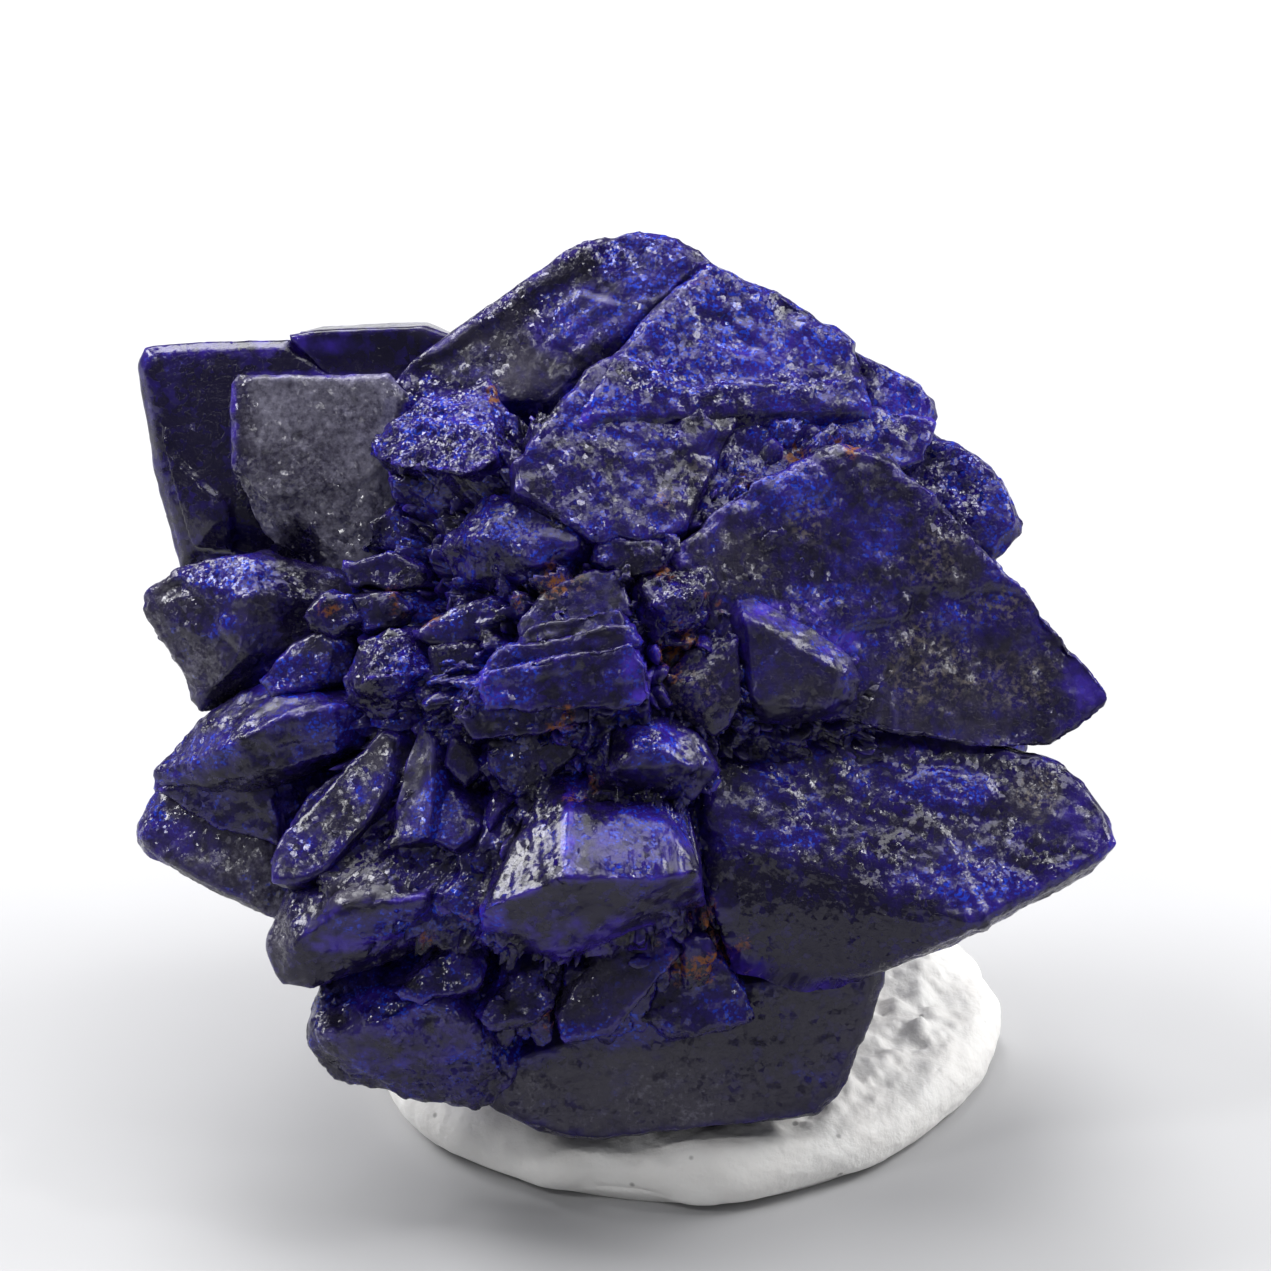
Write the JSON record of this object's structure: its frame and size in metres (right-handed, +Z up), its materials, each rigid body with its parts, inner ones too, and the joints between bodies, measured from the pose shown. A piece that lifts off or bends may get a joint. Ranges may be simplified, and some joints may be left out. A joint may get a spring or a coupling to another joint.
{
  "type": "azurite specimen",
  "caption": "Small rosette of intergrown tabular deep blue crystals, pressed into a round pad of white mineral putty.",
  "frame": {"origin": "on the surface that the pad stands on, under the middle of the whole specimen", "axes": "+Z up; +X to the right of someone who looks at the show side; -Y towards them"},
  "size_m": [0.0196, 0.0166, 0.017],
  "materials": {
    "azurite": "deep violet-blue, sugary and glinting, with greyer broad faces and rust in the clefts",
    "white_putty": "matt warm white, hand-pressed"
  },
  "bodies": {
    "root": {"azurite_cluster": "azurite", "putty_pad": "white_putty"}
  },
  "joints": []
}
